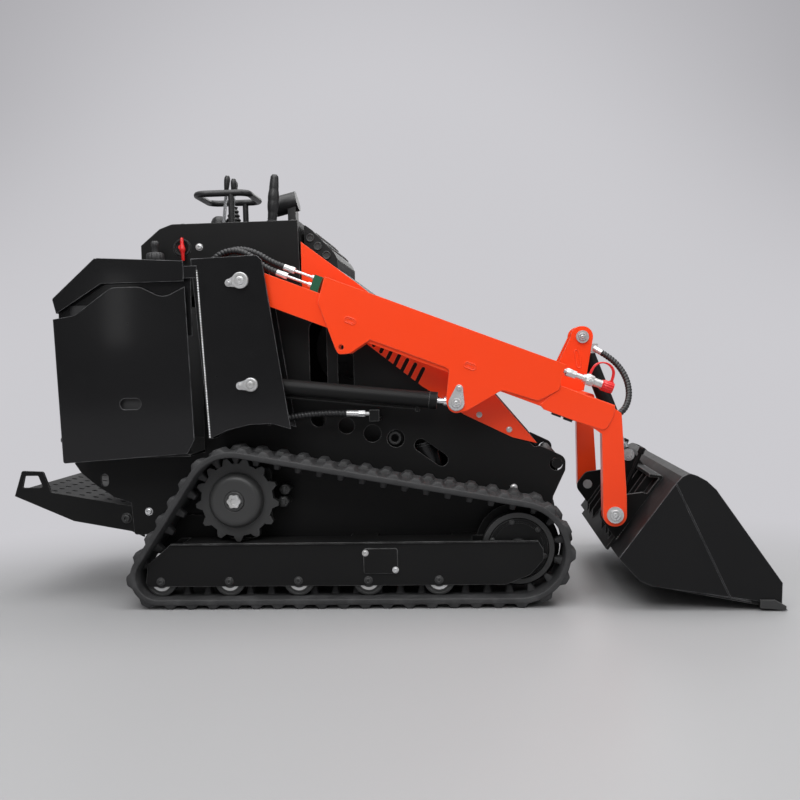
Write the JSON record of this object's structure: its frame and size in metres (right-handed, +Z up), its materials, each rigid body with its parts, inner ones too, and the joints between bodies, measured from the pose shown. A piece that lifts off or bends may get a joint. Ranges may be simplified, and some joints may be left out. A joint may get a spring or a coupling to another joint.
{
  "type": "mini track loader",
  "caption": "Compact stand-on loader on two rubber tracks, with a lifting boom and a tilting bucket at the front.",
  "frame": {"origin": "on the ground at the middle of the machine's outer box", "axes": "+X to the front, where the bucket is, +Y to the machine's left, +Z up"},
  "size_m": [2.584, 1.15, 1.5003],
  "materials": {
    "orange_paint": "gloss",
    "black_paint": "satin",
    "gloss_black": "gloss",
    "track_rubber": "matte",
    "cast_parts": "satin",
    "zinc": "satin",
    "rod_chrome": "polished",
    "handle_plastic": "matte",
    "tank_plastic": "matte",
    "red_plastic": "gloss",
    "green_valve": "satin",
    "grey_steel": "matte",
    "hose_black": "matte"
  },
  "bodies": {
    "chassis": {"battery_switch": "red_plastic", "chassis_floor": "black_paint", "chassis_plate_left": "black_paint", "chassis_plate_right": "black_paint", "console": "black_paint", "control_levers": "handle_plastic", "control_pod": "handle_plastic", "drive_motors": "cast_parts", "engine_block": "cast_parts", "filler_caps": "handle_plastic", "hood_grille": "grey_steel", "hood_sides": "orange_paint", "hood_top": "black_paint", "hose_brackets": "black_paint", "hub_covers": "cast_parts", "idlers": "cast_parts", "lift_tower_left": "gloss_black", "lift_tower_right": "gloss_black", "platform_side_left": "black_paint", "platform_side_right": "black_paint", "rear_panel_left": "gloss_black", "rear_panel_right": "gloss_black", "rear_rim": "gloss_black", "rear_tanks": "tank_plastic", "rear_wall": "gloss_black", "reference_bar": "handle_plastic", "rollers": "cast_parts", "side_fitting": "zinc", "side_hose": "hose_black", "sprockets": "cast_parts", "tower_pins": "zinc", "track_frame_left": "black_paint", "track_frame_right": "black_paint", "track_left": "track_rubber", "track_right": "track_rubber", "tread_plate": "grey_steel"},
    "boom": {"boom_arm_right": "orange_paint", "boom_arm_left": "orange_paint", "boom_cross_tube": "orange_paint", "boom_tower": "orange_paint", "boom_pins": "zinc", "valve_blocks": "green_valve", "boom_fittings": "zinc", "boom_hoses": "hose_black", "aux_couplers": "zinc", "coupler_caps": "red_plastic", "coupler_tethers": "red_plastic", "front_hose": "hose_black"},
    "lift_barrel_right": {"lift_barrel_right": "black_paint"},
    "lift_barrel_left": {"lift_barrel_left": "black_paint"},
    "lift_rod_right": {"lift_rod_right": "rod_chrome"},
    "lift_rod_left": {"lift_rod_left": "rod_chrome"},
    "tilt_barrel": {"tilt_barrel": "black_paint"},
    "tilt_rod": {"tilt_rod": "rod_chrome"},
    "bucket": {"attach_frame": "black_paint", "bucket_shell": "gloss_black", "bucket_sides": "gloss_black", "cutting_edge": "black_paint", "bucket_pins": "zinc", "attach_levers": "black_paint"}
  },
  "joints": [
    {"name": "boom_lift", "type": "hinge", "parent": "chassis", "child": "boom", "pos_m": [-0.421, 0, 1.077], "axis": [0, -1, 0], "range_deg": [0, 60], "deforming": ["boom_hoses"]},
    {"name": "lift_barrel_swing_right", "type": "hinge", "parent": "chassis", "child": "lift_barrel_right", "pos_m": [-0.396, -0.416, 0.734], "axis": [0, -1, 0], "range_deg": [0, 53.97]},
    {"name": "lift_rod_slide_right", "type": "slide", "parent": "lift_barrel_right", "child": "lift_rod_right", "axis": [0.9939, 0, -0.1105], "range_m": [0, 0.3318]},
    {"name": "lift_barrel_swing_left", "type": "hinge", "parent": "chassis", "child": "lift_barrel_left", "pos_m": [-0.396, 0.416, 0.734], "axis": [0, -1, 0], "range_deg": [0, 53.97]},
    {"name": "lift_rod_slide_left", "type": "slide", "parent": "lift_barrel_left", "child": "lift_rod_left", "axis": [0.9939, 0, -0.1105], "range_m": [0, 0.3318]},
    {"name": "bucket_tilt", "type": "hinge", "parent": "boom", "child": "bucket", "pos_m": [0.785, 0, 0.284], "axis": [0, -1, 0], "range_deg": [-58, 25]},
    {"name": "tilt_barrel_swing", "type": "hinge", "parent": "boom", "child": "tilt_barrel", "pos_m": [0.729, 0, 0.872], "axis": [0, -1, 0], "range_deg": [-2.8, 6.1]},
    {"name": "tilt_rod_slide", "type": "slide", "parent": "tilt_barrel", "child": "tilt_rod", "axis": [0.347, 0, -0.9379], "range_m": [-0.0722, 0.1663]}
  ],
  "couplings": [
    {"joint": "lift_barrel_swing_right", "follows": "boom_lift", "ratio": 0.89118},
    {"joint": "lift_rod_slide_right", "follows": "boom_lift", "m_per_rad": 0.31585},
    {"joint": "lift_barrel_swing_left", "follows": "boom_lift", "ratio": 0.89118},
    {"joint": "lift_rod_slide_left", "follows": "boom_lift", "m_per_rad": 0.31585},
    {"joint": "tilt_barrel_swing", "follows": "bucket_tilt", "ratio": -0.1},
    {"joint": "tilt_rod_slide", "follows": "bucket_tilt", "m_per_rad": -0.16329}
  ]
}
